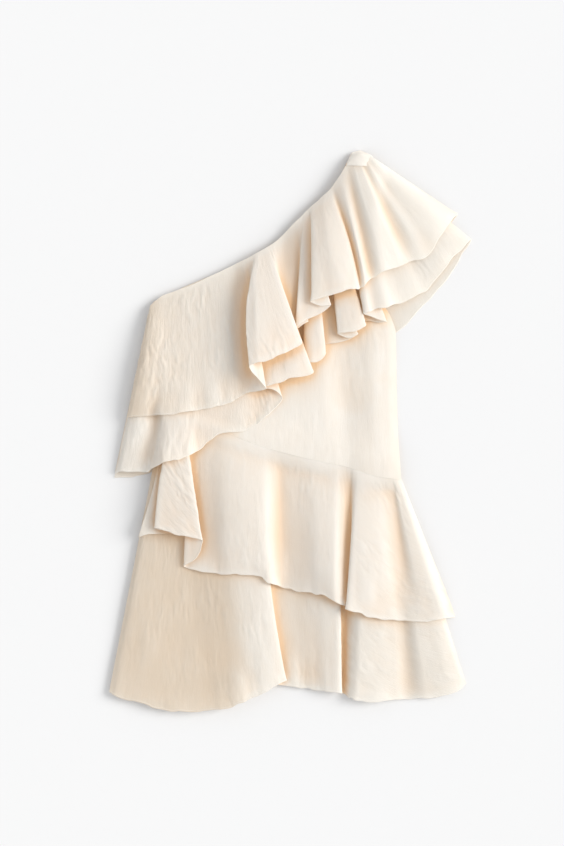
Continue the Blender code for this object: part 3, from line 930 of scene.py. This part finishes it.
lastSection = len(bodiceSections) - 1
flatFolds = tuple((x, 0.0, 0.0) for x, _, _ in bodiceFolds)
bodiceSettings = {"crepe": 0.3, "half": 0.28, "paintedFoldShadeShare": 1.0}
bodiceBack = layPanel(
    "bodice_back", lambda u, v: bodiceShape(bodiceSections, flatFolds, u, v), lastSection,
    {**bodiceSettings, "grid": (70, 90), "reach": 18.0, "seed": 53, "paintedShading": ((0, 0.8),)},
)
bodiceFront = layPanel(
    "bodice_front", lambda u, v: bodiceShape(bodiceSections, bodiceFolds, u, v), lastSection,
    {**bodiceSettings, "grid": (150, 170), "reach": 9.0, "seed": 59, "paintedShading": (
        (-20, 0.7), (40, 0.76), (85, 0.76), (108, 0.64), (130, 0.64), (138, 0.78), (160, 0.66), (175, 0.6),
    )},
)
skirtUnderFront = layFlounce("skirt_under_front", skirtUnderFrontFolds, waistSeam, {
    "grid": (2.1, 4.2), "reach": 9.0, "seed": 61, "paintedFoldShadeShare": ((-300, 0.6), (-40, 0.9), (100, 1.0), (178, 0.5)),
    "rests": ((-202, 0.2), (-80, 0.2), (60, 0.1), (120, 0.1), (178, 0.4)),
    "grain": ((92, 4.0), (999, -58.0)), "crepe": ((92, 0.35), (999, 0.5)),
    "paintedShading": (
        (-202, 0.15), (-192, 0.05), (-135, 0.0), (-100, 0.8), (-50, 0.96), (-35, 0.75), (0, 0.75),
        (20, 0.93), (75, 0.96), (85, 0.78), (100, 0.89), (140, 0.86), (155, 0.75), (162, 0.71),
        (168, 0.82), (178, 0.86),
    ),
})
skirtOverFront = layFlounce("skirt_over_front", skirtOverFrontFolds, waistSeam, {
    "grid": (2.1, 3.4), "reach": 12.0, "seed": 71,
    "close": ((-150, 0.0), (-120, 0.8), (50, 0.8), (75, 0.0), (118, 0.0), (150, 0.8), (178, 0.8)),
    "rests": (
        (-202, 0.1), (-155, 0.1), (-120, 0.75), (30, 0.75), (80, 0.2), (110, 0.2), (150, 0.8), (178, 0.8),
    ),
    "grain": ((-189, 0.0), (-168, -40.0), (96, 3.0), (999, -58.0)),
    "crepe": ((-189, 0.4), (-168, 0.7), (96, 0.3), (999, 0.4)),
    "paintedShading": (
        (-202, 0.82), (-186, 0.78), (-171, 0.89), (-165, 0.75), (-140, 0.86), (-110, 0.82), (-70, 1.0),
        (-40, 1.0), (-20, 0.78), (10, 0.82), (40, 1.0), (75, 0.93), (90, 0.71), (106, 0.98), (140, 0.96),
        (160, 0.77), (168, 0.89), (178, 0.93),
    ),
})
neckUnderFront = layFlounce("neck_under_front", neckUnderFrontFolds, neckline, {
    "grid": (2.3, 3.6), "reach": 12.0, "seed": 83,
    "paintedFoldShadeShare": ((-224, 0.5), (-100, 0.7), (-60, 1.0), (80, 1.0), (100, 0.3), (125, 0.2)),
    "close": ((-224, 0.5), (-100, 0.8), (-75, 0.0), (90, 0.0), (115, 0.8), (125, 0.8)),
    "rests": ((-224, 0.2), (-190, 0.6), (-90, 0.7), (-70, 0.1), (80, 0.1), (125, 0.6)),
    "crepe": ((-78, 0.85), (999, 0.3)), "grain": ((999, 3.0),),
    "paintedShading": (
        (-224, 0.96), (-205, 0.93), (-198, 0.78), (-150, 0.86), (-85, 0.86), (-50, 0.96), (-36, 0.93),
        (-20, 0.75), (20, 0.89), (40, 0.75), (54, 0.96), (65, 0.78), (75, 0.96), (106, 0.98), (125, 0.93),
    ),
})
neckOverFront = layFlounce("neck_over_front", neckOverFrontFolds, neckline, {
    "grid": (2.2, 3.0), "reach": 15.0, "seed": 97,
    "paintedFoldShadeShare": ((-224, 0.5), (-100, 0.8), (-60, 1.0), (80, 1.0), (110, 0.8), (125, 0.5)),
    "close": ((-224, 0.9), (-100, 0.9), (-75, 0.0), (80, 0.0), (100, 0.7), (125, 0.9)),
    "rests": (
        (-224, 0.8), (-90, 0.85), (-70, 0.1), (-20, 0.1), (20, 0.1), (66, 0.15), (95, 0.6), (125, 0.9),
    ),
    "crepe": ((-100, 1.0), (-52, 0.6), (-30, 0.5), (999, 0.2)),
    "grain": ((-66, 3.0), (-36, -8.0), (999, 0.0)),
    "paintedShading": (
        (-224, 0.1), (-200, 0.6), (-120, 0.87), (-80, 0.78), (-52, 0.96), (-40, 1.0), (-30, 0.86),
        (-5, 0.71), (20, 0.93), (34, 0.86), (50, 0.91), (62, 0.98), (67, 0.71), (78, 0.96),
        (90, 0.71), (98, 0.98), (104, 1.0), (110, 0.77), (116, 1.0), (120, 0.96), (125, 0.96),
    ),
})

# The rigid model lays cloth 1 mm thick. This cloth is thinner, so the band sinks onto what it covers.
yokeSink = {"all": 1.1, "right": 2.0, "below": 0.9}
shoulderYoke = layPanel(
    "shoulder_yoke", lambda u, v: yokeShape(yokeSections, u, v), len(yokeSections) - 1,
    {
        "grid": (30, 24), "reach": 3.0, "crepe": 0.1, "seed": 101, "half": 0.14, "paintedFoldShadeShare": 0.0,
        "paintedShading": ((0, 0.8),),
    },
)
shoulderYoke["points"][..., 2] -= (
    yokeSink["all"]
    + yokeSink["right"] * smoothStep(shoulderYoke["u"], 0.55, 1)
    + yokeSink["below"] * smoothStep(shoulderYoke["v"], 1.5, 3)
)


# The lower edge of the bodice comes up to the upper edge of the skirt, so that the seam lies flush.
def meetSeam(upper, lower, blend):
    seam = lower["points"][:, 0]
    points = upper["points"]
    target = np.interp(points[:, 0, 0], seam[:, 0], seam[:, 2]) + 2 * clothHalf
    rise = target - points[:, 0, 2]
    above = points[..., 1] - points[:, :1, 1]
    points[..., 2] += rise[:, None] * (1 - smoothStep(above, 0, blend))
    points[..., 1] -= seamOverlap * (1 - smoothStep(above, 0, 12))


seamOverlap = 2.2
meetSeam(bodiceFront, skirtOverFront, 110)

neckOverBack, neckUnderBack, skirtOverBack, skirtUnderBack, skirtUnderFront, skirtOverFront = (
    finishFlounce(laid)
    for laid in (neckOverBack, neckUnderBack, skirtOverBack, skirtUnderBack, skirtUnderFront, skirtOverFront)
)
neckUnderFront, neckOverFront = finishFlounce(neckUnderFront), finishFlounce(neckOverFront)
bodiceBack, bodiceFront, shoulderYoke = (
    finishPanel(laid) for laid in (bodiceBack, bodiceFront, shoulderYoke)
)
print("pieces made")


def floorMaterial():
    material = bpy.data.materials.new("floor")
    material.use_nodes = True
    tree = material.node_tree
    shader = tree.nodes["Principled BSDF"]
    shader.inputs["Roughness"].default_value = 0.9
    shader.inputs["Specular IOR Level"].default_value = 0.1
    where = tree.nodes.new("ShaderNodeTexCoord")
    grain = tree.nodes.new("ShaderNodeTexNoise")
    grain.inputs["Scale"].default_value = 60.0
    link(tree, where.outputs["Object"], grain.inputs["Vector"])
    tone = mixNode(tree, grain.outputs["Fac"], (0.806, 0.806, 0.81), (0.812, 0.812, 0.816))
    link(tree, tone, shader.inputs["Base Color"])
    return material


def buildFloor():
    bm = bmesh.new()
    bmesh.ops.create_grid(bm, x_segments=8, y_segments=8, size=20.0)
    mesh = bpy.data.meshes.new("floor")
    bm.to_mesh(mesh)
    bm.free()
    mesh.materials.append(floorMaterial())
    floor = bpy.data.objects.new("floor", mesh)
    bpy.context.scene.collection.objects.link(floor)
    floor.location.z = -cadGap * mm
    return floor


def addCamera():
    camera = bpy.data.objects.new("camera", bpy.data.cameras.new("camera"))
    bpy.context.scene.collection.objects.link(camera)
    camera.data.lens = cameraSettings["lens"]
    camera.data.sensor_width = cameraSettings["sensor"]
    camera.data.clip_end = 60
    distance = cameraSettings["lens"] * photoHeight * pixel / cameraSettings["sensor"]
    camera.location = (
        (photoWidth / 2 - originColumn) * pixel * mm - centre[0] * mm,
        (originRow - photoHeight / 2) * pixel * mm - centre[1] * mm,
        (distance + cameraSettings["focusHeight"]) * mm,
    )
    bpy.context.scene.camera = camera


cameraSettings = {"lens": 100.0, "sensor": 36.0, "focusHeight": 15.0}


def addLights():
    world = bpy.data.worlds.new("studio")
    bpy.context.scene.world = world
    world.use_nodes = True
    background = world.node_tree.nodes["Background"]
    background.inputs["Color"].default_value = (0.98, 0.99, 1.0, 1)
    background.inputs["Strength"].default_value = lightSettings["fill"]
    sun = bpy.data.objects.new("key", bpy.data.lights.new("key", "SUN"))
    bpy.context.scene.collection.objects.link(sun)
    sun.data.energy = lightSettings["key"]
    sun.data.angle = math.radians(lightSettings["softness"])
    sun.data.color = (1.0, 0.985, 0.96)
    sun.rotation_euler = (
        0, math.radians(90 - lightSettings["elevation"]), math.radians(lightSettings["azimuth"])
    )
    bpy.context.scene.view_settings.view_transform = "Standard"


lightSettings = {"fill": 0.762, "key": 2.65, "softness": 32.0, "elevation": 30.0, "azimuth": 12.0}

buildFloor()
addCamera()
addLights()
print("stage set")
